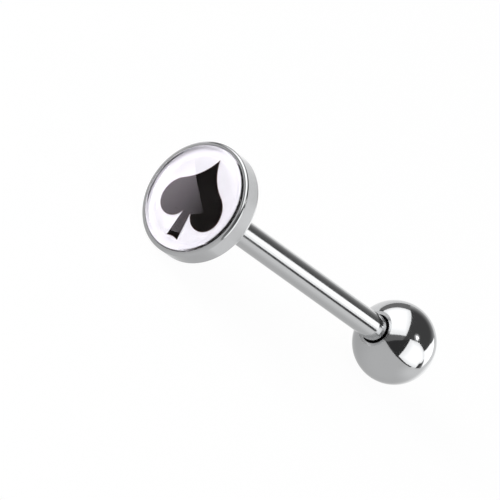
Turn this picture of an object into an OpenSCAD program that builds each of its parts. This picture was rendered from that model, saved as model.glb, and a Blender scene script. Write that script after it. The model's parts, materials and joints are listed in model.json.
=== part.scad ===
// Tongue barbell: a straight polished steel stem with a round picture disc on one end
// and a ball on the other. It lies on its ball and on the edge of its disc, with the
// disc towards +X, and its lowest points are at Z = 0. All sizes are in millimetres.

/* [Stem] */
// Diameter of the stem, 14 gauge
stem_d = 1.6; // [1.4:0.1:1.8]
// Bare length between the back of the disc and the mouth of the ball
stem_length = 19; // [12:1:26]
// Width of the bevel round each end of the stem
bevel_width = 0.15; // [0.1:0.01:0.2]
// Length of the bevel along the stem
bevel_length = 0.28; // [0.2:0.01:0.3]
// Diameter of the plain pins on the ends of the stem
pin_d = 1.2; // [0.9:0.05:1.25]
// Length of the pin that stands in the ball
ball_pin_length = 2.2; // [1:0.1:3]

/* [Seats] */
// Depth of the seats that take the ends of the stem
seat_depth = 0.3; // [0.25:0.01:0.4]
// Gap between the side of the stem and its seats
seat_side_gap = 0.1; // [0.05:0.01:0.2]
// Gap where two pieces meet
fit_gap = 0.02; // [0.01:0.01:0.04]

/* [Ball] */
// Diameter of the ball
ball_d = 5; // [4:0.5:8]
// Width of the chamfer round the mouth of the ball's seat
mouth_chamfer = 0.08; // [0.04:0.02:0.2]

/* [Disc cup] */
// Diameter of the disc
disc_d = 7; // [6:0.5:12]
// Height of the cup from its back to the top of its lip
cup_height = 1.4; // [1.2:0.1:2.4]
// Width of the lip round the picture
lip_width = 0.25; // [0.2:0.05:0.5]
// Thickness of the floor under the picture
floor_thickness = 0.7; // [0.6:0.05:0.8]
// Rounding of the back edge
back_edge_r = 0.25; // [0.1:0.05:0.4]
// Rounding of the outer edge of the lip
lip_edge_r = 0.1; // [0.05:0.01:0.15]

/* [Picture] */
// Thickness of the white ground
ground_thickness = 0.15; // [0.1:0.01:0.2]
// Thickness of the black spade
spade_thickness = 0.04; // [0.02:0.01:0.08]
// Height of the spade from foot to tip
spade_height = 5.05; // [3.5:0.05:5.3]
// Turn of the spade to the left from upright, in degrees, seen from the front
spade_turn = 32.25; // [-180:0.25:180]

/* [Resin dome] */
// Depth below the lip at which the dome's edge starts to round
dome_sink = 0.08; // [0.04:0.02:0.3]
// Rounding of the dome's edge
dome_edge_r = 0.28; // [0.2:0.02:0.5]
// Rise of the dome between its rounded edge and its middle
dome_crown = 0.22; // [0.1:0.02:0.4]

/* [Hidden] */
$fn = 96;
wide_arc_fn = 1440;

stem_r = stem_d / 2;
bevel_r = stem_r - bevel_width;
pin_r = pin_d / 2;
pin_hole_r = pin_r + fit_gap;
seat_r = stem_r + seat_side_gap;
seat_reach = seat_depth - fit_gap;

ball_r = ball_d / 2;
mouth_r = seat_r + mouth_chamfer;
ball_drop = sqrt(ball_r * ball_r - mouth_r * mouth_r);
ball_centre_z = -stem_length - ball_drop;

disc_r = disc_d / 2;
recess_r = disc_r - lip_width;
ground_z = floor_thickness + fit_gap;
ground_top = ground_z + ground_thickness;
spade_z = ground_top + fit_gap;
resin_z = spade_z + spade_thickness + fit_gap;
cup_pin_length = floor_thickness - seat_reach;

// The dome's section is one wide arc that meets a small edge arc without a corner
dome_r = recess_r - fit_gap;
dome_edge_x = dome_r - dome_edge_r;
dome_edge_z = cup_height - dome_sink;
dome_top = dome_edge_z + dome_edge_r + dome_crown;
dome_arc_r = (dome_edge_x * dome_edge_x + dome_crown * dome_crown) / (2 * dome_crown) + dome_edge_r;
dome_arc_z = dome_top - dome_arc_r;
dome_join = dome_arc_r / (dome_arc_r - dome_edge_r);

// Forms of the spade as shares of its height, from its centre, with the tip towards +Y
spade_tip_y = 0.506 * spade_height;
spade_foot_y = -0.494 * spade_height;
spade_widest_y = -0.1 * spade_height;
spade_half_width = 0.44 * spade_height;
lobe_r = 0.198 * spade_height;
shoulder_r = 0.287 * spade_height;
flank_r = 0.634 * spade_height;
foot_top_y = -0.1 * spade_height;
foot_top_half = 0.045 * spade_height;
foot_half = 0.083 * spade_height;
foot_flank_r = 0.9 * spade_height;
foot_base_r = 0.13 * spade_height;

// How the barbell leans when it rests on its ball and on the back edge of its disc
edge_x = disc_r - back_edge_r;
lean_reach = back_edge_r - ball_centre_z;
lean_span = sqrt(edge_x * edge_x + lean_reach * lean_reach);
lean = acos((ball_r - back_edge_r) / lean_span) - atan2(lean_reach, edge_x);
axis_height = back_edge_r + edge_x * cos(lean) - back_edge_r * sin(lean);
front_x = dome_arc_z * cos(lean) + dome_arc_r;
rear_x = ball_centre_z * cos(lean) - ball_r;
axis_x = -(front_x + rear_x) / 2;

// Centre of the circle of radius r through p and q, on the right going from p to q
function arc_centre(p, q, r) =
    let (half = norm(q - p) / 2, along = (q - p) / norm(q - p))
    (p + q) / 2 + sqrt(r * r - half * half) * [along.y, -along.x];

// Centre of the circle of radius r that passes through p and touches another from outside
function touching_centre(p, other, other_r, r) =
    let (
        gap = norm(p - other),
        along = (p - other) / gap,
        reach = r + other_r,
        foot = (reach * reach - r * r + gap * gap) / (2 * gap)
    )
    other + foot * along + sqrt(reach * reach - foot * foot) * [along.y, -along.x];

// The same point on the other side of the spade
function flipped(p) = [-p.x, p.y];

// Puts a piece drawn round the Z axis where it lies at rest
module lying() {
    translate([axis_x, 0, axis_height])
        rotate([0, 90 - lean, 0])
            children();
}

// Section of a round plate, with its lower and upper outer edges rounded
module plate_section(r, h, low_r, high_r) {
    translate([0, low_r]) square([r, h - low_r - high_r]);
    square([r - low_r, h / 2]);
    translate([0, h / 2]) square([r - high_r, h / 2]);
    translate([r - low_r, low_r]) circle(low_r);
    translate([r - high_r, h - high_r]) circle(high_r);
}

module stem() {
    low = -stem_length - seat_reach;
    high = seat_reach;
    color("silver") lying() {
        translate([0, 0, low - ball_pin_length]) cylinder(h = ball_pin_length + bevel_length, r = pin_r);
        translate([0, 0, low]) cylinder(h = bevel_length, r1 = bevel_r, r2 = stem_r);
        translate([0, 0, low + bevel_length]) cylinder(h = high - low - 2 * bevel_length, r = stem_r);
        translate([0, 0, high - bevel_length]) cylinder(h = bevel_length, r1 = stem_r, r2 = bevel_r);
        translate([0, 0, high - bevel_length]) cylinder(h = cup_pin_length + bevel_length, r = pin_r);
    }
}

module disc_cup() {
    color("silver") lying() difference() {
        rotate_extrude() intersection() {
            plate_section(disc_r, cup_height, back_edge_r, lip_edge_r);
            square([2 * disc_r, 2 * cup_height]);
        }
        translate([0, 0, floor_thickness]) cylinder(h = cup_height, r = recess_r);
        translate([0, 0, -cup_height]) cylinder(h = cup_height + seat_depth, r = seat_r);
        translate([0, 0, -cup_height]) cylinder(h = 3 * cup_height, r = pin_hole_r);
    }
}

module white_ground() {
    color("white") lying() translate([0, 0, ground_z]) cylinder(h = ground_thickness, r = dome_r);
}

// The spade's head: two lobes and their shoulders, drawn up to the tip by hollow flanks
module spade_head() {
    tip = [0, spade_tip_y];
    lobe = [spade_half_width - lobe_r, spade_widest_y];
    shoulder = [spade_half_width - shoulder_r, spade_widest_y];
    notch = [0, lobe.y - lobe_r / 2];
    flank = touching_centre(tip, shoulder, shoulder_r, flank_r);
    difference() {
        polygon([tip, flipped(flank), flipped(shoulder), flipped(lobe), notch, lobe, shoulder, flank]);
        translate(flank) circle(flank_r);
        translate(flipped(flank)) circle(flank_r);
    }
    for (place = [lobe, flipped(lobe)]) translate(place) circle(lobe_r);
    intersection() {
        union() for (place = [shoulder, flipped(shoulder)]) translate(place) circle(shoulder_r);
        translate([-spade_height, spade_widest_y]) square(2 * spade_height);
    }
}

// The spade's foot, with hollow sides and a hollow base
module spade_foot() {
    corner = [foot_half, spade_foot_y];
    top = [foot_top_half, foot_top_y];
    side = arc_centre(corner, top, foot_flank_r);
    low = corner - [0, foot_base_r / 2];
    difference() {
        translate([-2 * foot_half, low.y]) square([4 * foot_half, top.y - low.y]);
        translate(side) circle(foot_flank_r);
        translate(flipped(side)) circle(foot_flank_r);
        translate(arc_centre(flipped(corner), corner, foot_base_r)) circle(foot_base_r);
    }
}

module spade() {
    color("black") lying() translate([0, 0, spade_z]) rotate([0, 0, 90 + spade_turn])
        linear_extrude(spade_thickness) {
            spade_head();
            spade_foot();
        }
}

module resin_dome() {
    reach = dome_edge_x * dome_join;
    rise = dome_arc_z + (dome_edge_z - dome_arc_z) * dome_join;
    color("whitesmoke", 0.3) lying() rotate_extrude() {
        translate([0, resin_z]) square([dome_r, dome_edge_z - resin_z]);
        intersection() {
            translate([dome_edge_x, dome_edge_z]) circle(dome_edge_r);
            translate([0, resin_z]) square([2 * dome_r, 2 * dome_top]);
        }
        intersection() {
            translate([0, dome_arc_z]) circle(dome_arc_r, $fn = wide_arc_fn);
            polygon([[0, resin_z], [dome_edge_x, resin_z], [dome_edge_x, dome_edge_z],
                [reach, rise], [reach, 2 * dome_top], [0, 2 * dome_top]]);
        }
    }
}

module ball() {
    color("silver") lying() translate([0, 0, ball_centre_z]) difference() {
        sphere(ball_r);
        translate([0, 0, ball_drop - seat_depth]) cylinder(h = ball_r, r = seat_r);
        translate([0, 0, ball_drop - mouth_chamfer])
            cylinder(h = 2 * mouth_chamfer, r1 = seat_r, r2 = mouth_r + mouth_chamfer);
        translate([0, 0, ball_drop - seat_depth - ball_pin_length]) cylinder(h = ball_r, r = pin_hole_r);
    }
}

stem();
disc_cup();
white_ground();
spade();
resin_dome();
ball();
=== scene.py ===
"""Tongue barbell: the looks of a mirror-polished steel bar with a ball and a picture disc.

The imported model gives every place. Each piece of the barbell is turned or drawn again at the
same sizes, fine enough for polished metal and clear resin, and is dressed in its material.
"""

import json
import math

import bmesh
import bpy
from bpy.props import FloatProperty, FloatVectorProperty, IntProperty, PointerProperty
from bpy.types import Operator, Panel, PropertyGroup
from mathutils import Euler, Matrix, Vector


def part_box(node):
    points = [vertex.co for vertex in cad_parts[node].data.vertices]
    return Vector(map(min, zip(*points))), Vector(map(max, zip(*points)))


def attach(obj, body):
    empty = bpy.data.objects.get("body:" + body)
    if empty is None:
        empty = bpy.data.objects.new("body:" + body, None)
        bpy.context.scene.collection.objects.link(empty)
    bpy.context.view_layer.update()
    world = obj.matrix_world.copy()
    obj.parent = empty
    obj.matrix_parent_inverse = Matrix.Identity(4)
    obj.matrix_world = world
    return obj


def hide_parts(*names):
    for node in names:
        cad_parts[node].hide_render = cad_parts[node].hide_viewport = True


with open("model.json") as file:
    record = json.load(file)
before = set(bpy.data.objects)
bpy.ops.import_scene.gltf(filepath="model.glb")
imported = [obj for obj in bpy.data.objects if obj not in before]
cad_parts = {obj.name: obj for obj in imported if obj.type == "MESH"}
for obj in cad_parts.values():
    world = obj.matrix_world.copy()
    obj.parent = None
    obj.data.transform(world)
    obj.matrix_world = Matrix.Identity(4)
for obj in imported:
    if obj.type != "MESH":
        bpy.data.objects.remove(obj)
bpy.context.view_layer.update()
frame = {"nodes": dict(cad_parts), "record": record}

bl_info = {
    "name": "Tongue Barbell",
    "version": (1, 0, 0),
    "blender": (4, 5, 0),
    "location": "View3D > Sidebar > Barbell",
    "description": "Builds a polished steel tongue barbell with a picture disc",
    "category": "Object",
}

MM = 0.001


# The bar's own frame: Z along the stem from the ball to the disc, zero at the disc's back
MOUNTS = {mount["name"]: mount for mount in frame["record"]["mounts"]}
AXIS = -Vector(MOUNTS["disc_back"]["axis"]).normalized()
DISC_BACK = Vector(MOUNTS["disc_back"]["pos_m"])
LEAN = math.atan2(AXIS.z, AXIS.x)
LYING = Matrix.Translation(DISC_BACK) @ Euler((0, math.pi / 2 - LEAN, 0)).to_matrix().to_4x4()


def span(node):
    """Lowest and highest place of a CAD node along the stem, and its radius, in metres."""
    back = LYING.inverted()
    points = [back @ vertex.co for vertex in frame["nodes"][node].data.vertices]
    along = [p.z for p in points]
    return min(along), max(along), max(p.xy.length for p in points)


STEM = span("stem")
CUP = span("disc_cup")
GROUND = span("white_ground")
SPADE = span("spade")
RESIN = span("resin_dome")
BALL = span("ball")
BALL_RADIUS = (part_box("ball")[1].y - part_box("ball")[0].y) / 2


def linear(code):
    """Linear RGBA of an sRGB hex colour."""
    parts = [int(code[i:i + 2], 16) / 255 for i in (1, 3, 5)]
    return [v / 12.92 if v <= 0.04045 else ((v + 0.055) / 1.055) ** 2.4 for v in parts] + [1.0]


def add(tree, kind, sockets=None, **settings):
    """Adds a node with its settings. Each socket is given a value or a link."""
    node = tree.nodes.new(kind)
    for name, value in settings.items():
        setattr(node, name, value)
    for name, value in (sockets or {}).items():
        if isinstance(value, bpy.types.NodeSocket):
            tree.links.new(value, node.inputs[name])
        else:
            node.inputs[name].default_value = value
    return node


def calculator(tree):
    """A function that adds a maths node to the tree and gives its output."""
    def maths(operation, a, b=0):
        return add(tree, "ShaderNodeMath", {0: a, 1: b}, operation=operation).outputs[0]
    return maths


def length(name, description, default):
    """A length property, given in millimetres."""
    return FloatProperty(
        name=name, description=description, default=default * MM, min=0.0, unit="LENGTH", precision=5,
    )


def colour(name, description, code):
    """A colour property, given as sRGB hex."""
    return FloatVectorProperty(
        name=name, description=description, default=linear(code), min=0, max=1, size=4, subtype="COLOR",
    )


class BarbellSizes(PropertyGroup):
    """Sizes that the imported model's boxes don't give."""

    pin_radius: length("Pin radius", "Radius of the plain pins on the ends of the stem", 0.6)
    bevel_width: length("Bevel width", "Width of the bevel round each end of the stem", 0.15)
    seat_depth: length("Seat depth", "Depth of the seats that take the ends of the stem", 0.3)
    seat_gap: length("Seat gap", "Gap between the side of the stem and its seats", 0.1)
    fit_gap: length("Fit gap", "Gap where two pieces meet", 0.02)
    mouth_facet: length("Mouth facet", "Width of the cut round the mouth of the ball's seat", 0.2)
    mouth_dip: length("Mouth dip", "Drop of that cut from its outer to its inner edge", 0.03)
    ball_pin: length("Ball pin", "Length of the pin that stands in the ball", 2.2)
    lip_width: length("Lip width", "Width of the lip round the picture", 0.25)
    floor_thickness: length("Floor thickness", "Thickness of the cup's floor under the picture", 0.7)
    back_edge: length("Back edge", "Rounding of the disc's back edge", 0.25)
    lip_edge: length("Lip edge", "Rounding of the lip's outer edge", 0.18)
    break_edge: length("Broken edge", "Rounding of edges that are only broken", 0.02)
    bond_radius: length("Bond radius", "Radius within which the resin is bonded to the print", 2.6)
    dome_edge: length("Dome edge", "Rounding of the resin's edge", 0.28)
    dome_crown: length("Dome crown", "Rise of the resin between its rounded edge and its middle", 0.22)
    spade_height: length("Spade height", "Height of the spade from foot to tip", 5.05)
    fringe_width: length("Fringe width", "Width of the thin ink round the spade", 0.05)
    spade_turn: FloatProperty(
        name="Spade turn", description="Turn of the spade to the left from upright, seen from the front",
        default=math.radians(32.25), subtype="ANGLE",
    )
    segments: IntProperty(name="Segments", description="Sides round each turned piece", default=256, min=16)


class BarbellColours(PropertyGroup):
    """Colours of the finishes and of the studio."""

    steel: colour("Steel", "Reflection colour of the polished steel", "#C3C4C5")
    bevel: colour("Bevels", "Tumbled bevels of the stem", "#6E6E71")
    faced: colour("Mouth", "Faced ring round the ball's mouth", "#E6E7E8")
    # Painted shade: the seats and holes are coloured near black for the shade inside them
    seat_painted_shade: colour("Seats", "Bored seats and holes", "#161617")
    ground: colour("Ground", "Printed white ground", "#F8F5FB")
    ground_tone: colour("Ground tone", "Second tone that the ground wanders to", "#EFECF2")
    # Painted shade: a greyer ring on the print outside the bond radius, standing in for the shade near the
    # resin's edge
    ground_rim_painted_shade: colour("Ground rim", "Ground outside the bonded resin", "#E0DDE3")
    ink: colour("Ink", "Black ink of the spade", "#0E0B0A")
    fringe: colour("Ink fringe", "Thin ink at the spade's edge", "#5A413D")
    resin: colour("Resin", "Clear resin", "#FDFDFF")
    floor: colour("Floor", "Floor of the studio", "#EEEEEE")


def sizes():
    """The sizes in use."""
    return bpy.context.scene.barbell_sizes


def colours():
    """The colours in use."""
    return bpy.context.scene.barbell_colours


# Steps of the finer and coarser arcs
BROKEN_STEPS = 6
DOME_EDGE_STEPS = 24
DOME_STEPS = 64
BALL_STEPS = 160


def arc(centre, radius, start, end, steps=16):
    """Points on an arc of a section, from one angle to another, in degrees from outwards to upwards."""
    turns = [math.radians(start + (end - start) * i / steps) for i in range(steps + 1)]
    return [(centre[0] + radius * math.cos(t), centre[1] + radius * math.sin(t)) for t in turns]


def straight(start, end, support=0.004 * MM):
    """A straight stretch of a section, with a point near each end that keeps its shading flat."""
    a, b = Vector(start), Vector(end)
    step = (b - a).normalized() * min(support, (b - a).length / 3)
    return [tuple(p) for p in (a, a + step, b - step, b)]


# The most finishes that one turned piece has, how near points are that count as one, and the bend from
# which an edge is shaded sharp
FINISHES = 3
MERGE_WITHIN = 1e-7
SHARP_FROM = math.radians(20)


def turned_tree():
    """Geometry Nodes that turn a section, drawn in XZ, round the bar's axis."""
    tree = bpy.data.node_groups.new("Turned piece", "GeometryNodeTree")
    face = tree.interface
    face.new_socket("Section", in_out="INPUT", socket_type="NodeSocketGeometry")
    face.new_socket("Segments", in_out="INPUT", socket_type="NodeSocketInt")
    face.new_socket("Place", in_out="INPUT", socket_type="NodeSocketVector")
    face.new_socket("Lean", in_out="INPUT", socket_type="NodeSocketFloat")
    face.new_socket("Sharp from", in_out="INPUT", socket_type="NodeSocketFloat")
    for finish in range(FINISHES):
        face.new_socket(f"Material {finish}", in_out="INPUT", socket_type="NodeSocketMaterial")
    face.new_socket("Piece", in_out="OUTPUT", socket_type="NodeSocketGeometry")
    given = add(tree, "NodeGroupInput").outputs
    maths = calculator(tree)
    rows = add(tree, "GeometryNodeAttributeDomainSize", {0: given["Section"]}, component="MESH")
    columns = maths("ADD", given["Segments"], 1)
    grid = add(tree, "GeometryNodeMeshGrid", {
        "Size X": 1.0, "Size Y": 1.0, "Vertices X": rows.outputs["Point Count"], "Vertices Y": columns,
    })
    index = add(tree, "GeometryNodeInputIndex").outputs[0]
    row = maths("FLOOR", maths("DIVIDE", index, columns))
    column = maths("MODULO", index, columns)
    # Turned clockwise, so that the faces look outwards
    angle = maths("MULTIPLY", maths("DIVIDE", column, given["Segments"]), -math.tau)
    own_place = add(tree, "GeometryNodeInputPosition").outputs[0]
    point = add(tree, "GeometryNodeSampleIndex", {
        "Geometry": given["Section"], "Value": own_place, "Index": row,
    }, data_type="FLOAT_VECTOR")
    part = add(tree, "ShaderNodeSeparateXYZ", {0: point.outputs[0]}).outputs
    # The seam repeats the first column to the last bit, so that the two merge
    seam = maths("LESS_THAN", column, given["Segments"])
    turn = maths("MULTIPLY", angle, seam)
    place = add(tree, "ShaderNodeCombineXYZ", {
        "X": maths("MULTIPLY", part["X"], maths("COSINE", turn)),
        "Y": maths("MULTIPLY", part["X"], maths("SINE", turn)),
        "Z": part["Z"],
    })
    # Each ring of faces keeps the finish of the stretch of section that it comes from
    finish = add(tree, "GeometryNodeInputNamedAttribute", {"Name": "finish"}, data_type="FLOAT")
    own = add(tree, "GeometryNodeSampleIndex", {
        "Geometry": given["Section"], "Value": finish.outputs[0],
        "Index": maths("FLOOR", maths("DIVIDE", index, given["Segments"])),
    }, data_type="FLOAT")
    marked = add(tree, "GeometryNodeStoreNamedAttribute", {
        0: grid.outputs["Mesh"], "Name": "finish", "Value": own.outputs[0],
    }, data_type="FLOAT", domain="FACE")
    shaped = add(tree, "GeometryNodeSetPosition", {0: marked.outputs[0], "Position": place.outputs[0]})
    closed = add(tree, "GeometryNodeMergeByDistance", {0: shaped.outputs[0], "Distance": MERGE_WITHIN})
    lean = add(tree, "ShaderNodeCombineXYZ", {"Y": given["Lean"]})
    laid = add(tree, "GeometryNodeTransform", {
        "Geometry": closed.outputs[0], "Translation": given["Place"],
        "Rotation": add(tree, "FunctionNodeEulerToRotation", {0: lean.outputs[0]}).outputs[0],
    })
    smooth = add(tree, "GeometryNodeSetShadeSmooth", {
        0: laid.outputs[0], "Shade Smooth": True,
    }, domain="FACE")
    bend = add(tree, "GeometryNodeInputMeshEdgeAngle").outputs[0]
    sharp = add(tree, "GeometryNodeSetShadeSmooth", {
        0: smooth.outputs[0], "Selection": maths("GREATER_THAN", bend, given["Sharp from"]),
        "Shade Smooth": False,
    }, domain="EDGE")
    real = add(tree, "GeometryNodeRealizeInstances", {0: sharp.outputs[0]})
    dressed = add(tree, "GeometryNodeSetMaterial", {0: real.outputs[0], "Material": given["Material 0"]})
    for number in range(1, FINISHES):
        dressed = add(tree, "GeometryNodeSetMaterial", {
            0: dressed.outputs[0], "Material": given[f"Material {number}"],
            "Selection": maths("GREATER_THAN", finish.outputs[0], number - 0.5),
        })
    add(tree, "NodeGroupOutput", {0: dressed.outputs[0]})
    return tree


def turned(name, section, *finishes):
    """A turned piece: its section goes once round the bar's axis, and the piece lies where the bar lies.

    The section is a list of stretches, each a number of a finish and its points.
    """
    points = [point for _, stretch in section for point in stretch]
    mesh = bpy.data.meshes.new(name)
    mesh.from_pydata([(x, 0, z) for x, z in points], [(i, i + 1) for i in range(len(points) - 1)], [])
    mark = mesh.attributes.new("finish", "FLOAT", "POINT")
    mark.data.foreach_set("value", [float(number) for number, stretch in section for _ in stretch])
    piece = bpy.data.objects.new(name, mesh)
    bpy.context.scene.collection.objects.link(piece)
    modifier = piece.modifiers.new("Turned piece", "NODES")
    modifier.node_group = bpy.data.node_groups.get("Turned piece") or turned_tree()
    values = {
        "Segments": sizes().segments,
        "Place": DISC_BACK,
        "Lean": math.pi / 2 - LEAN,
        "Sharp from": SHARP_FROM,
    }
    for number in range(FINISHES):
        values[f"Material {number}"] = finishes[min(number, len(finishes) - 1)]
    for socket in modifier.node_group.interface.items_tree:
        if socket.name in values:
            modifier[socket.identifier] = values[socket.name]
    graph = bpy.context.evaluated_depsgraph_get()
    solid = bpy.data.meshes.new_from_object(piece.evaluated_get(graph), depsgraph=graph)
    piece.modifiers.clear()
    piece.data = solid
    solid.name = name
    solid.attributes.remove(solid.attributes["finish"])
    if len(solid.polygons) < len(points):
        raise RuntimeError(f"{name} came out of its section with no faces")
    return piece


def ready(piece, body, slot, *nodes):
    """Puts a finished piece on its body, in place of its CAD nodes."""
    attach(piece, body)
    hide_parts(*nodes)


def new_material(name):
    """An empty node material and its tree."""
    material = bpy.data.materials.get(name)
    if material:
        return material, None
    material = bpy.data.materials.new(name)
    material.use_nodes = True
    material.node_tree.nodes.clear()
    return material, material.node_tree


# Sizes of the wandering in the steel's roughness, the range that its noise mostly keeps to, the size of the
# tones of the printed ground, and half the width over which painted shade greys that ground at the bond's
# edge
POLISHED_GRAIN = 1.6 * MM
CUT_GRAIN = 0.3 * MM
LINE_GRAIN = 0.03 * MM
NOISE_RANGE = (0.35, 0.65)
TONE_SIZE = 0.9 * MM
PAINTED_SHADE_SOFTNESS = 0.03 * MM


def steel_finish(name, rough, grain, base=None, lines=False):
    """Surgical steel: its roughness wanders between two values, in a soft grain or in fine turned lines."""
    material, tree = new_material(name)
    if tree is None:
        return material
    place = add(tree, "ShaderNodeTexCoord").outputs["Object"]
    if lines:
        along = add(tree, "ShaderNodeVectorMath", {0: place, 1: AXIS / grain}, operation="DOT_PRODUCT")
        place = add(tree, "ShaderNodeCombineXYZ", {"X": along.outputs["Value"]}).outputs[0]
    haze = add(tree, "ShaderNodeTexNoise", {
        "Vector": place, "Scale": 1.0 if lines else 1 / grain, "Detail": 4.0,
    })
    level = add(tree, "ShaderNodeMapRange", {
        "Value": haze.outputs[0], "From Min": NOISE_RANGE[0], "From Max": NOISE_RANGE[1],
        "To Min": rough[0], "To Max": rough[1],
    })
    shader = add(tree, "ShaderNodeBsdfPrincipled", {
        "Base Color": tuple(base or colours().steel), "Metallic": 1.0, "Roughness": level.outputs[0],
    })
    add(tree, "ShaderNodeOutputMaterial", {"Surface": shader.outputs[0]})
    return material


def mirror_polished_steel():
    """Buffed to a mirror: sharp reflections with a breath of haze, as on the ball and the lip."""
    return steel_finish("surgical_steel_mirror_polished", (0.06, 0.1), POLISHED_GRAIN)


def polished_bar_steel():
    """Drawn bar, polished along its length: its reflections run softer at their edges than the ball's."""
    return steel_finish("surgical_steel_polished_bar", (0.09, 0.13), POLISHED_GRAIN)


def turned_side_steel():
    """Turned and then buffed: nearly a mirror, with fine lines round it, as on the cup's side."""
    return steel_finish("surgical_steel_turned_and_buffed", (0.1, 0.2), LINE_GRAIN, lines=True)


def cut_edge_steel():
    """Cut bevels, only tumbled: a soft, darker grey without clear reflections."""
    return steel_finish("surgical_steel_tumbled_bevel", (0.3, 0.38), CUT_GRAIN, colours().bevel)


def faced_steel():
    """Faced off round the ball's mouth: a bright ring that spreads what it mirrors."""
    return steel_finish("surgical_steel_faced", (0.24, 0.32), CUT_GRAIN, colours().faced)


def bored_steel_painted_shade():
    """Bored and left as the tool left it, with no polish, and coloured near black as painted shade for the
    shade inside the seats, so that they look like plain holes.
    """
    return steel_finish("surgical_steel_bored_painted_shade", (0.5, 0.6), CUT_GRAIN, colours().seat_painted_shade)


def printed_ground():
    """White printed film under resin: smooth and faintly lilac, with painted shade that greys it outside the
    bonded resin.
    """
    material, tree = new_material("printed_film_white")
    place = add(tree, "ShaderNodeTexCoord").outputs["Object"]
    tone = add(tree, "ShaderNodeTexNoise", {"Vector": place, "Scale": 1 / TONE_SIZE, "Detail": 3.0})
    even = add(tree, "ShaderNodeMix", {
        0: tone.outputs[0], 6: tuple(colours().ground), 7: tuple(colours().ground_tone),
    }, data_type="RGBA")
    middle = LYING @ Vector((0, 0, GROUND[1]))
    bond = sizes().bond_radius
    off = add(tree, "ShaderNodeVectorMath", {0: place, 1: middle}, operation="DISTANCE").outputs["Value"]
    # Painted shade: past the bond radius the ground turns to the greyer rim colour, for the shade near the
    # resin's edge
    rim = add(tree, "ShaderNodeMapRange", {
        "Value": off, "From Min": bond - PAINTED_SHADE_SOFTNESS, "From Max": bond + PAINTED_SHADE_SOFTNESS,
    })
    shade = add(tree, "ShaderNodeMix", {
        0: rim.outputs[0], 6: even.outputs[2], 7: tuple(colours().ground_rim_painted_shade),
    }, data_type="RGBA")
    shader = add(tree, "ShaderNodeBsdfPrincipled", {"Base Color": shade.outputs[2], "Roughness": 0.5})
    add(tree, "ShaderNodeOutputMaterial", {"Surface": shader.outputs[0]})
    return material


def black_ink():
    """Black printing ink under resin: deep, slightly warm, and thin and reddish at the print's edge."""
    material, tree = new_material("printing_ink_black")
    edge = add(tree, "ShaderNodeAttribute", attribute_name="edge").outputs["Fac"]
    shade = add(tree, "ShaderNodeMix", {
        0: edge, 6: tuple(colours().ink), 7: tuple(colours().fringe),
    }, data_type="RGBA")
    shader = add(tree, "ShaderNodeBsdfPrincipled", {
        "Base Color": shade.outputs[2], "Roughness": 0.45, "Specular IOR Level": 0.1,
    })
    add(tree, "ShaderNodeOutputMaterial", {"Surface": shader.outputs[0]})
    return material


def clear_resin():
    """Clear epoxy, poured and cured in a dome: water-clear, with a hard gloss."""
    material, tree = new_material("epoxy_resin_clear_domed")
    shader = add(tree, "ShaderNodeBsdfPrincipled", {
        "Base Color": tuple(colours().resin), "Roughness": 0.0, "IOR": 1.5, "Transmission Weight": 1.0,
    })
    add(tree, "ShaderNodeOutputMaterial", {"Surface": shader.outputs[0]})
    return material


def bonded_resin():
    """The resin's underside, bonded to the print: no air lies there, so nothing glints."""
    material, tree = new_material("epoxy_resin_bonded_face")
    shader = add(tree, "ShaderNodeBsdfTransparent", {"Color": (1, 1, 1, 1)})
    add(tree, "ShaderNodeOutputMaterial", {"Surface": shader.outputs[0]})
    return material


class BARBELL_OT_stem(Operator):
    """Turns the straight stem with a bevel and a plain pin at each end"""

    bl_idname = "barbell.stem"
    bl_label = "Stem"

    def execute(self, context):
        s = sizes()
        low, high, radius = STEM
        ball_end = low + s.ball_pin
        cup_end = s.seat_depth - s.fit_gap
        bevel = cup_end
        neck = radius - s.bevel_width
        turn = 2 * math.atan2(s.bevel_width, bevel)
        bend = bevel / math.sin(turn)
        section = [
            (0, straight((0, low), (s.pin_radius, low))),
            (0, straight((s.pin_radius, low), (s.pin_radius, ball_end))),
            (0, straight((s.pin_radius, ball_end), (neck, ball_end))),
            (1, arc((radius - bend, ball_end + bevel), bend, -math.degrees(turn), 0)),
            (0, straight((radius, ball_end + bevel), (radius, cup_end - bevel))),
            (1, arc((radius - bend, cup_end - bevel), bend, 0, math.degrees(turn))),
            (0, straight((neck, cup_end), (s.pin_radius, cup_end))),
            (0, straight((s.pin_radius, cup_end), (s.pin_radius, high))),
            (0, straight((s.pin_radius, high), (0, high))),
        ]
        ready(turned("stem_bar", section, polished_bar_steel(), cut_edge_steel()), "bar", "steel", "stem")
        return {"FINISHED"}


class BARBELL_OT_cup(Operator):
    """Turns the steel cup with its thin lip round the picture"""

    bl_idname = "barbell.cup"
    bl_label = "Disc cup"

    def execute(self, context):
        s = sizes()
        height, radius = CUP[1], CUP[2]
        recess = radius - s.lip_width
        seat = STEM[2] + s.seat_gap
        hole = s.pin_radius + s.fit_gap
        back = straight((seat, 0), (radius - s.back_edge, 0))
        side = (
            arc((radius - s.back_edge, s.back_edge), s.back_edge, -90, 0)
            + straight((radius, s.back_edge), (radius, height - s.lip_edge))
        )
        lip = (
            arc((radius - s.lip_edge, height - s.lip_edge), s.lip_edge, 0, 90)
            + straight((radius - s.lip_edge, height), (recess + s.break_edge, height))
            + arc((recess + s.break_edge, height - s.break_edge), s.break_edge, 90, 180, BROKEN_STEPS)
        )
        wall = straight((recess, height - s.break_edge), (recess, s.floor_thickness))
        bore = (
            straight((recess, s.floor_thickness), (hole, s.floor_thickness))
            + straight((hole, s.floor_thickness), (hole, s.seat_depth))
            + straight((hole, s.seat_depth), (seat, s.seat_depth))
            + straight((seat, s.seat_depth), (seat, 0))
        )
        # The bore gets painted shade: near-black steel for the shade in the seat and hole
        shell = turned(
            "cup_shell", [(0, back), (1, side), (0, lip), (0, wall), (2, bore)],
            mirror_polished_steel(), turned_side_steel(), bored_steel_painted_shade(),
        )
        ready(shell, "bar", "steel", "disc_cup")
        return {"FINISHED"}


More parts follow.
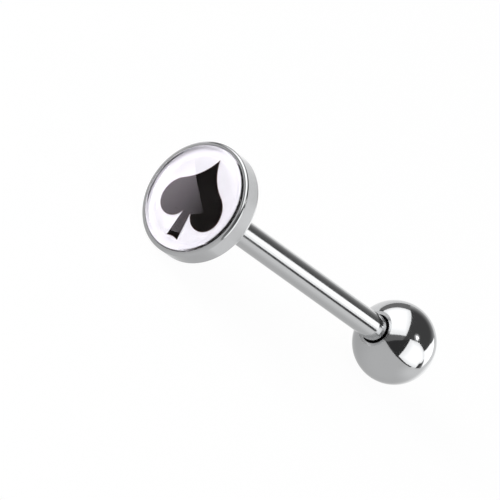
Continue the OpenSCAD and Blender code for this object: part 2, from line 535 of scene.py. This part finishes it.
class BARBELL_OT_ground(Operator):
    """Cuts the white printed ground of the picture"""

    bl_idname = "barbell.ground"
    bl_label = "White ground"

    def execute(self, context):
        low, high, radius = GROUND
        section = (
            straight((0, low), (radius, low))
            + straight((radius, low), (radius, high))
            + straight((radius, high), (0, high))
        )
        ready(turned("picture_ground", [(0, section)], printed_ground()), "bar", "ground", "white_ground")
        return {"FINISHED"}


def circle_centre(p, q, radius):
    """Centre of the circle through two points, on the right going from the first to the second."""
    half = (q - p) / 2
    right = Vector((half.y, -half.x)).normalized()
    return (p + q) / 2 + right * math.sqrt(radius ** 2 - half.length_squared)


def touching_centre(point, other, other_radius, radius):
    """Centre of the circle through a point that touches another circle from outside."""
    way = point - other
    reach = radius + other_radius
    foot = (reach ** 2 - radius ** 2 + way.length_squared) / (2 * way.length)
    way.normalize()
    return other + way * foot + Vector((way.y, -way.x)) * math.sqrt(reach ** 2 - foot ** 2)


def sweep(centre, radius, start, end, steps):
    """Points on the shorter arc of a circle from one point to another, both left out."""
    a = math.atan2(*reversed(start - centre))
    turn = (math.atan2(*reversed(end - centre)) - a + math.pi) % math.tau - math.pi
    angles = [a + turn * i / steps for i in range(1, steps)]
    return [centre + radius * Vector((math.cos(t), math.sin(t))) for t in angles]


def spade_outline(height, steps=48):
    """The card-suit spade, tip towards +Y, as points going once round from the tip.

    Its places and radii are shares of its height.
    """
    tip = Vector((0, 0.506)) * height
    corner = Vector((0.083, -0.494)) * height
    foot_top = Vector((0.045, -0.1)) * height
    lobe, lobe_radius = Vector((0.242, -0.1)) * height, 0.198 * height
    shoulder, shoulder_radius = Vector((0.153, -0.1)) * height, 0.287 * height
    flank_radius, foot_radius, base_radius = 0.634 * height, 0.9 * height, 0.25 * height
    flank = touching_centre(tip, shoulder, shoulder_radius, flank_radius)
    meeting = shoulder + (flank - shoulder).normalized() * shoulder_radius
    side = lobe + Vector((lobe_radius, 0))
    notch = Vector((0, lobe.y - lobe_radius / 2))
    inner = lobe + (notch - lobe).normalized() * lobe_radius
    foot = circle_centre(corner, foot_top, foot_radius)
    crotch = inner + (notch - inner) * 0.32
    crotch = foot + (crotch - foot).normalized() * foot_radius
    base = circle_centre(Vector((-corner.x, corner.y)), corner, base_radius)
    low = lobe - Vector((0, lobe_radius))
    half = (
        [tip] + sweep(flank, flank_radius, tip, meeting, steps)
        + [meeting] + sweep(shoulder, shoulder_radius, meeting, side, steps)
        + [side] + sweep(lobe, lobe_radius, side, low, steps)
        + [low] + sweep(lobe, lobe_radius, low, inner, steps)
        + [inner, crotch] + sweep(foot, foot_radius, crotch, corner, steps // 2) + [corner]
    )
    other = [Vector((-p.x, p.y)) for p in reversed(half[1:])]
    return half + sweep(base, base_radius, corner, other[0], steps // 2) + other


class BARBELL_OT_spade(Operator):
    """Draws the spade in black ink"""

    bl_idname = "barbell.spade"
    bl_label = "Spade"

    def execute(self, context):
        s = sizes()
        low, high, _ = SPADE
        turn = Matrix.Rotation(math.pi / 2 + s.spade_turn, 4, "Z")
        outline = [LYING @ (turn @ Vector((p.x, p.y, low))) for p in spade_outline(s.spade_height)]
        shape = bmesh.new()
        face = shape.faces.new([shape.verts.new(p) for p in outline])
        raised = bmesh.ops.extrude_face_region(shape, geom=[face])["geom"]
        top = [v for v in raised if isinstance(v, bmesh.types.BMVert)]
        bmesh.ops.translate(shape, verts=top, vec=AXIS * (high - low))
        thin = shape.verts.layers.float.new("edge")
        for vertex in shape.verts:
            vertex[thin] = 1.0
        upper = [f for f in raised if isinstance(f, bmesh.types.BMFace)]
        bmesh.ops.inset_region(shape, faces=upper, thickness=s.fringe_width, use_even_offset=False)
        for vertex in upper[0].verts:
            vertex[thin] = 0.0
        bmesh.ops.triangulate(shape, faces=[f for f in shape.faces if len(f.verts) > 4])
        bmesh.ops.recalc_face_normals(shape, faces=shape.faces)
        mesh = bpy.data.meshes.new("picture_spade")
        shape.to_mesh(mesh)
        shape.free()
        mesh.materials.append(black_ink())
        piece = bpy.data.objects.new("picture_spade", mesh)
        bpy.context.scene.collection.objects.link(piece)
        ready(piece, "bar", "spade", "spade")
        return {"FINISHED"}


class BARBELL_OT_resin(Operator):
    """Pours the clear resin dome over the picture"""

    bl_idname = "barbell.resin"
    bl_label = "Resin dome"

    def execute(self, context):
        s = sizes()
        low, top, radius = RESIN
        edge_x = radius - s.dome_edge
        edge_z = top - s.dome_crown - s.dome_edge
        wide = (edge_x ** 2 + s.dome_crown ** 2) / (2 * s.dome_crown) + s.dome_edge
        join = 90 - math.degrees(math.atan2(edge_x, wide - s.dome_edge - s.dome_crown))
        section = [
            (1, straight((0, low), (s.bond_radius, low))),
            (0, straight((s.bond_radius, low), (radius, low))),
            (0, straight((radius, low), (radius, edge_z))),
            (0, arc((edge_x, edge_z), s.dome_edge, 0, join, DOME_EDGE_STEPS)),
            (0, arc((0, top - wide), wide, join, 90, DOME_STEPS)),
        ]
        piece = turned("resin_cap", section, clear_resin(), bonded_resin())
        # Light reaches the picture straight through the clear resin
        piece.visible_shadow = False
        ready(piece, "bar", "resin", "resin_dome")
        return {"FINISHED"}


class BARBELL_OT_ball(Operator):
    """Turns the ball with its countersunk seat"""

    bl_idname = "barbell.ball"
    bl_label = "Ball"

    def execute(self, context):
        s = sizes()
        seat = STEM[2] + s.seat_gap
        hole = s.pin_radius + s.fit_gap
        mouth = seat + s.mouth_facet
        drop = math.sqrt(BALL_RADIUS ** 2 - mouth ** 2)
        centre = BALL[0] + BALL_RADIUS
        rim = centre + drop
        rim_angle = math.degrees(math.atan2(drop, mouth))
        floor = STEM[0] + s.ball_pin - s.fit_gap
        bottom = floor - s.ball_pin
        edge = s.break_edge
        outside = arc((0, centre), BALL_RADIUS, -90, rim_angle, BALL_STEPS)
        # The ring round the mouth dips a little towards the seat
        lip = rim - s.mouth_dip
        facet = (
            straight((mouth, rim), (seat + edge, lip))
            + arc((seat + edge, lip - edge), edge, 90, 180, BROKEN_STEPS)
        )
        bore = (
            straight((seat, lip - edge), (seat, floor))
            + straight((seat, floor), (hole, floor))
            + straight((hole, floor), (hole, bottom))
            + straight((hole, bottom), (0, bottom))
        )
        # The seat and its pin hole get painted shade: near-black steel for the shade inside them
        ball = turned(
            "ball_steel", [(0, outside), (1, facet), (2, bore)],
            mirror_polished_steel(), faced_steel(), bored_steel_painted_shade(),
        )
        ready(ball, "ball", "steel", "ball")
        return {"FINISHED"}


# The photograph's view: where the camera stands, how far it is rolled and what it looks at
CAMERA_AZIMUTH = 36.08
CAMERA_ELEVATION = 19.33
CAMERA_ROLL = 56.50
CAMERA_DISTANCE = 0.5
CAMERA_LENS = 626.4
CAMERA_SENSOR = 36
CAMERA_CLIP = (0.01, 20)
CAMERA_TARGET = Vector((2.7457, -1.8252, 1.5126)) * MM


def way(azimuth, elevation):
    """Direction with an azimuth from +X towards +Y and an elevation, in degrees."""
    a, e = math.radians(azimuth), math.radians(elevation)
    return Vector((math.cos(a) * math.cos(e), math.sin(a) * math.cos(e), math.sin(e)))


def mixed(tree, factor, first, second):
    """A mix of two shaders: the first at factor 0, the second at 1."""
    return add(tree, "ShaderNodeMixShader", {0: factor, 1: first.outputs[0], 2: second.outputs[0]})


def staged(name, points, faces, material):
    """A mesh of the studio, which isn't a part of the object."""
    mesh = bpy.data.meshes.new(name)
    mesh.from_pydata(points, [], faces)
    mesh.materials.append(material)
    obj = bpy.data.objects.new(name, mesh)
    bpy.context.scene.collection.objects.link(obj)
    return obj


def glow(name, rim, middle, seen_by=None, even=True, tint=(1, 1, 1, 1)):
    """Light of a card, from one strength at its rim to another in its middle.

    An even card eases from one to the other. Otherwise its points say how strong it is, and may pass 1.
    One that is seen by "resin" shows in the clear resin alone, and one that is seen by "front" only from
    the side that it faces.
    """
    material, tree = new_material(name)
    place = add(tree, "ShaderNodeAttribute", attribute_name="middle").outputs["Fac"]
    level = add(tree, "ShaderNodeMapRange", {
        "Value": place, "To Min": rim, "To Max": middle,
    }, interpolation_type="SMOOTHSTEP" if even else "LINEAR", clamp=even)
    shader = add(tree, "ShaderNodeEmission", {"Color": tint, "Strength": level.outputs[0]})
    clear = add(tree, "ShaderNodeBsdfTransparent")
    if seen_by == "resin":
        shader = mixed(tree, add(tree, "ShaderNodeLightPath").outputs["Is Singular Ray"], clear, shader)
    if seen_by == "front":
        shader = mixed(tree, add(tree, "ShaderNodeNewGeometry").outputs["Backfacing"], shader, clear)
    add(tree, "ShaderNodeOutputMaterial", {"Surface": shader.outputs[0]})
    return material


# A card's mark at its middle. Marks past 1 count as 1, so its inner third is as bright as its middle.
CARD_MIDDLE = 1.5


def card(name, corners, material):
    """A card that only shows in reflections: a fan of faces round its middle."""
    middle = sum(corners, Vector()) / len(corners)
    faces = [(i, (i + 1) % len(corners), len(corners)) for i in range(len(corners))]
    obj = staged(name, [*corners, middle], faces, material)
    mark = obj.data.attributes.new("middle", "FLOAT", "POINT")
    mark.data.foreach_set("value", [0.0] * len(corners) + [CARD_MIDDLE])
    return reflected_only(obj)


def banded(name, rows, material):
    """A sheet of rows of points, each a place and a strength, that only shows in reflections."""
    across = len(rows[0])
    points = [place for row in rows for place, _ in row]
    faces = [
        (i * across + j, i * across + j + 1, (i + 1) * across + j + 1, (i + 1) * across + j)
        for i in range(len(rows) - 1) for j in range(across - 1)
    ]
    obj = staged(name, points, faces, material)
    mark = obj.data.attributes.new("middle", "FLOAT", "POINT")
    mark.data.foreach_set("value", [strength for row in rows for _, strength in row])
    return reflected_only(obj)


def reflected_only(obj):
    """Hides a card from everything but reflections."""
    obj.visible_camera = False
    obj.visible_diffuse = False
    obj.visible_shadow = False
    obj.visible_transmission = False
    return obj


# What the polished steel mirrors: how far off each card is, its strengths at the rim and in the middle,
# and its corners, as directions from the ball in degrees
CARDS = {
    "softbox_left": (0.4, 1.5, 2.0, [(-71, 9), (-90, 27), (-107, 40), (39, 54), (9, 19)]),
    "softbox_right": (0.4, 1.5, 2.0, [(64, 57), (118, 57), (142, 36), (149, 20), (146.5, 13.5), (138, 12),
                                      (137, 2.5), (104, 3), (72, 5)]),
    "softbox_back": (0.4, 1.8, 2.2, [(-163, 20), (170, 36.5), (142, 36), (149, 20), (155, 3), (164, 7),
                                     (178, 12), (-172, 18)]),
    "lamp": (0.4, 4.0, 6.0, [(94, 71), (103, 63), (116, 67), (108, 74)]),
    "lamp_halo": (0.45, 0.08, 0.75, [(70, 71), (84, 61), (103, 56), (122, 60), (137, 70), (128, 78),
                                     (85, 79)]),
    "backdrop": (0.4, 0.95, 0.95, [(-82, -0.3), (-110, 10), (-124, 14), (-158, 17), (-164, 13),
                                   (-172, -0.3)]),
    "screen_left": (0.4, 0.23, 0.23, [(-71, 9), (-90, 27), (-107, 40), (-119, 22), (-124, 14), (-110, 10),
                                      (-82, -0.3)]),
    "skirting_right": (0.4, 0.97, 0.97, [(122, -0.3), (124, 3.1), (137, 2.6), (137, -0.3)]),
    "skirting_back": (0.4, 0.97, 0.97, [(155, -0.3), (155, 3.1), (164, 7.5), (178, 12.5), (-172, 18.5),
                                        (-164, 13), (-172, -0.3)]),
    "skirting_gap": (0.4, 0.8, 0.8, [(137, -0.3), (137, 1.8), (155, 1.8), (155, -0.3)]),
    "dim_panel": (0.4, 0.2, 0.2, [(2, -0.3), (9, 19), (39, 54), (44, 40), (30, 22), (22, 2), (16, -0.3)]),
    "dark_corner": (0.4, 0.045, 0.045, [(16, -0.3), (22, 2), (30, 22), (44, 40), (64, 57), (72, 5),
                                        (72, -0.3)]),
}

# What the clear resin alone mirrors, as corners in millimetres: black paper on the floor and a black wall
RESIN_CARDS = {
    "dark_sheet": [(14, 12, 0.04), (60, 12, 0.04), (60, -60, 0.04), (14, -60, 0.04)],
    "dark_wall": [(28, 12, 0.05), (28, -60, 0.05), (28, -60, 5), (28, 12, 5)],
}

# A pale sheet on the black paper, which the resin mirrors over the left part of the spade: its near edge and
# its height in millimetres, its strength at the origin and how that changes along x and y, the y of the line
# where it starts to fade and how that changes along x, how far it fades, and its colour
PALE_EDGE = [(14.6, -0.6), (15.6, -0.6), (17.9, -0.6), (18.7, -1.2), (19.9, -2.2), (20.9, -3.1), (21.8, -4),
             (24.7, -4.9), (27.4, -6), (27.8, -6.2)]
PALE_FALL = (6.8, -0.32, -0.37)
PALE_LINE = (8.9, -0.87)
PALE_FADE = 3
PALE_HEIGHT = 0.05
PALE_COLOUR = "#FFF3FF"


def pale_sheet():
    """The pale sheet in three rows: its near edge, where it starts to fade, and where it is gone."""
    rows = [[], [], []]
    for x, near in PALE_EDGE:
        line = PALE_LINE[0] + PALE_LINE[1] * x
        for row, y in zip(rows, (near, line, line - PALE_FADE)):
            strength = PALE_FALL[0] + PALE_FALL[1] * x + PALE_FALL[2] * y
            faded = x == PALE_EDGE[0][0] or row is rows[2]
            row.append((Vector((x, y, PALE_HEIGHT)) * MM, 0.0 if faded else strength))
    material = glow("pale_sheet", 0.0, 1.0, seen_by="resin", even=False, tint=linear(PALE_COLOUR))
    return banded("pale_sheet", rows, material)


# What the disc's side mirrors: a wide paper screen round the far end of the set, turned to the disc. It is
# given in the bar's own frame, by angles in degrees, radii and a place along the bar in millimetres.
SCREEN_ANGLES = range(60, 256, 15)
SCREEN_RADII = (17, 30)
SCREEN_PLACE = -18.6
SCREEN_STRENGTH = 0.95


def screen():
    """The paper screen, seen from the disc's side alone."""
    rows = []
    for angle in SCREEN_ANGLES:
        out = Matrix.Rotation(math.radians(angle), 3, "Z") @ Vector((1, 0, 0))
        places = [LYING @ ((out * radius + Vector((0, 0, SCREEN_PLACE))) * MM) for radius in SCREEN_RADII]
        rows.append([(place, SCREEN_STRENGTH) for place in places])
    return banded("screen", rows, glow("screen", 0.0, 1.0, seen_by="front", even=False))


# A grey flag beside the disc, in line with the ball: it keeps the right softbox out of the lip. It is given
# by the heights of its bands, with the strength of each, and by its ends, seen from above, in millimetres.
FLAG_RISE = [(4.2, 0.36), (7, 0.3), (9, 0.16), (12, 0.05), (17, 0.03)]
FLAG_ENDS = [(12, 7.25), (22, 10.5)]


def flag():
    """The grey flag, seen from the disc's side alone."""
    rows = [[(Vector((x, y, z)) * MM, strength) for x, y in FLAG_ENDS] for z, strength in FLAG_RISE]
    return banded("flag", rows, glow("flag", 0.0, 1.0, seen_by="front", even=False))


# The floor's half width in metres, and how it looks to the camera: mostly a light of its own
FLOOR_HALF = 1.5
FLOOR_LIFT = 1.05
FLOOR_LIFT_SHARE = 0.9

# The one lamp: its direction from the origin in degrees, and its distance and size in metres
KEY_DIRECTION = (-10, 12)
KEY_DISTANCE = 0.6
KEY_SIZE = 0.4
KEY_POWER = 3.0

# Strengths of the surroundings, to the camera and on matt surfaces
SKY_SEEN = 1.0
SKY_SOFT = 0.45

# What polished steel sees of them. Each patch is given by the heights between which it grows (as parts of a
# direction's length), its azimuth in degrees, the nearness to that (as cosines) between which it grows, and
# its greatest strength. Above the horizon lies a dark room that pales low down behind the ball, and below it
# a soft grey ground that brightens to white far off behind the bar.
ROOM_DARK = 0.08
ROOM_PALE = 0.87
LOW_DOWN = ((0.7, -0.08), -145, (0.35, 0.6), 1)
GROUND_GREY = (0.62, 0.73)
GROUND_WAY = (75, -35)
GROUND_NEARNESS = (0.0, 0.9)
GROUND_PALE = 0.29
FAR_OFF = ((-0.65, -0.15), 165, (0.35, 1.0), 1)
BEHIND = ((-0.7, -0.2), -125, (0.3, 0.7), 1.45)


class BARBELL_OT_stage(Operator):
    """Sets up the pale floor, the soft lights and the camera"""

    bl_idname = "barbell.stage"
    bl_label = "Studio"

    def execute(self, context):
        scene = context.scene
        scene.view_settings.view_transform = "Standard"
        self.camera(scene)
        self.floor()
        self.reflections()
        self.lamps(scene)
        self.surroundings(scene)
        return {"FINISHED"}

    def camera(self, scene):
        away = way(CAMERA_AZIMUTH, CAMERA_ELEVATION)
        data = bpy.data.cameras.new("camera")
        data.lens = CAMERA_LENS
        data.sensor_width = CAMERA_SENSOR
        data.clip_start, data.clip_end = CAMERA_CLIP
        camera = bpy.data.objects.new("camera", data)
        scene.collection.objects.link(camera)
        roll = Matrix.Rotation(math.radians(CAMERA_ROLL), 3, "Z")
        turn = away.to_track_quat("Z", "Y").to_matrix() @ roll
        camera.matrix_world = Matrix.Translation(CAMERA_TARGET + away * CAMERA_DISTANCE) @ turn.to_4x4()
        scene.camera = camera

    def floor(self):
        """A pale floor, white to the camera. Polished steel sees the studio's soft ground through it."""
        material, tree = new_material("studio_floor")
        rays = add(tree, "ShaderNodeLightPath").outputs
        matt = add(tree, "ShaderNodeBsdfDiffuse", {"Color": tuple(colours().floor)})
        lift = add(tree, "ShaderNodeEmission", {"Color": (1, 1, 1, 1), "Strength": FLOOR_LIFT})
        clear = add(tree, "ShaderNodeBsdfTransparent")
        white = mixed(tree, FLOOR_LIFT_SHARE, matt, lift)
        plain = mixed(tree, rays["Is Glossy Ray"], matt, clear)
        mix = mixed(tree, rays["Is Camera Ray"], plain, white)
        add(tree, "ShaderNodeOutputMaterial", {"Surface": mix.outputs[0]})
        corners = [(x * FLOOR_HALF, y * FLOOR_HALF, 0) for x, y in ((-1, -1), (1, -1), (1, 1), (-1, 1))]
        staged("floor", corners, [(0, 1, 2, 3)], material)

    def reflections(self):
        """Cards that only show as reflections."""
        centre = LYING @ Vector((0, 0, BALL[0] + BALL_RADIUS))
        for name, (distance, rim, middle, corners) in CARDS.items():
            card(name, [centre + way(*corner) * distance for corner in corners], glow(name, rim, middle))
        for name, corners in RESIN_CARDS.items():
            card(name, [Vector(corner) * MM for corner in corners], glow(name, 0.0, 0.0, seen_by="resin"))
        pale_sheet()
        screen()
        flag()

    def lamps(self, scene):
        """One soft lamp, for the matt surfaces."""
        data = bpy.data.lights.new("key", "AREA")
        data.size = KEY_SIZE
        data.energy = KEY_POWER
        lamp = bpy.data.objects.new("key", data)
        lamp.location = way(*KEY_DIRECTION) * KEY_DISTANCE
        lamp.rotation_euler = (-way(*KEY_DIRECTION)).to_track_quat("-Z", "Y").to_euler()
        lamp.visible_glossy = False
        lamp.visible_camera = False
        scene.collection.objects.link(lamp)

    def surroundings(self, scene):
        """White to the camera, an even soft light on matt surfaces, and a dark room in reflections."""
        world = bpy.data.worlds.new("studio")
        world.use_nodes = True
        tree = world.node_tree
        tree.nodes.clear()
        rays = add(tree, "ShaderNodeLightPath").outputs
        looking = add(tree, "ShaderNodeTexCoord").outputs["Generated"]
        height = add(tree, "ShaderNodeSeparateXYZ", {0: looking}).outputs["Z"]

        def towards(azimuth, elevation):
            sockets = {0: looking, 1: way(azimuth, elevation)}
            return add(tree, "ShaderNodeVectorMath", sockets, operation="DOT_PRODUCT").outputs["Value"]

        def soft_step(value, start, end, low, high):
            return add(tree, "ShaderNodeMapRange", {
                "Value": value, "From Min": start, "From Max": end, "To Min": low, "To Max": high,
            }, interpolation_type="SMOOTHSTEP").outputs[0]

        def patch(heights, azimuth, nearness, most):
            rise = soft_step(height, *heights, 0, most)
            return maths("MULTIPLY", rise, soft_step(towards(azimuth, 0), *nearness, 0, 1))

        def background(strength):
            return add(tree, "ShaderNodeBackground", {"Color": (1, 1, 1, 1), "Strength": strength})

        maths = calculator(tree)
        room = maths("ADD", maths("MULTIPLY", patch(*LOW_DOWN), ROOM_PALE), ROOM_DARK)
        pale = maths("MULTIPLY", maths("ADD", patch(*FAR_OFF), patch(*BEHIND)), GROUND_PALE)
        ground = maths("ADD", soft_step(towards(*GROUND_WAY), *GROUND_NEARNESS, *GROUND_GREY), pale)
        above = maths("GREATER_THAN", height)
        haze = add(tree, "ShaderNodeMix", {0: above, 2: ground, 3: room}, data_type="FLOAT")
        lit = mixed(tree, rays["Is Diffuse Ray"], background(haze.outputs[0]), background(SKY_SOFT))
        mix = mixed(tree, rays["Is Camera Ray"], lit, background(SKY_SEEN))
        add(tree, "ShaderNodeOutputWorld", {"Surface": mix.outputs[0]})
        scene.world = world


OPERATORS = (
    BARBELL_OT_stage,
    BARBELL_OT_stem,
    BARBELL_OT_cup,
    BARBELL_OT_ground,
    BARBELL_OT_spade,
    BARBELL_OT_resin,
    BARBELL_OT_ball,
)


class BARBELL_PT_panel(Panel):
    """Lists the pieces, their sizes and their colours"""

    bl_idname = "BARBELL_PT_panel"
    bl_label = "Tongue barbell"
    bl_space_type = "VIEW_3D"
    bl_region_type = "UI"
    bl_category = "Barbell"

    def draw(self, context):
        for operator in OPERATORS:
            self.layout.operator(operator.bl_idname)
        for group in (context.scene.barbell_sizes, context.scene.barbell_colours):
            box = self.layout.box()
            for name in group.__annotations__:
                box.prop(group, name)


CLASSES = (BarbellSizes, BarbellColours, *OPERATORS, BARBELL_PT_panel)


def register():
    for cls in CLASSES:
        bpy.utils.register_class(cls)
    bpy.types.Scene.barbell_sizes = PointerProperty(type=BarbellSizes)
    bpy.types.Scene.barbell_colours = PointerProperty(type=BarbellColours)


def unregister():
    del bpy.types.Scene.barbell_colours
    del bpy.types.Scene.barbell_sizes
    for cls in reversed(CLASSES):
        bpy.utils.unregister_class(cls)


def main():
    register()
    bpy.ops.barbell.stage()
    bpy.ops.barbell.stem()
    bpy.ops.barbell.cup()
    bpy.ops.barbell.ground()
    bpy.ops.barbell.spade()
    bpy.ops.barbell.resin()
    bpy.ops.barbell.ball()


if __name__ == "__main__":
    main()
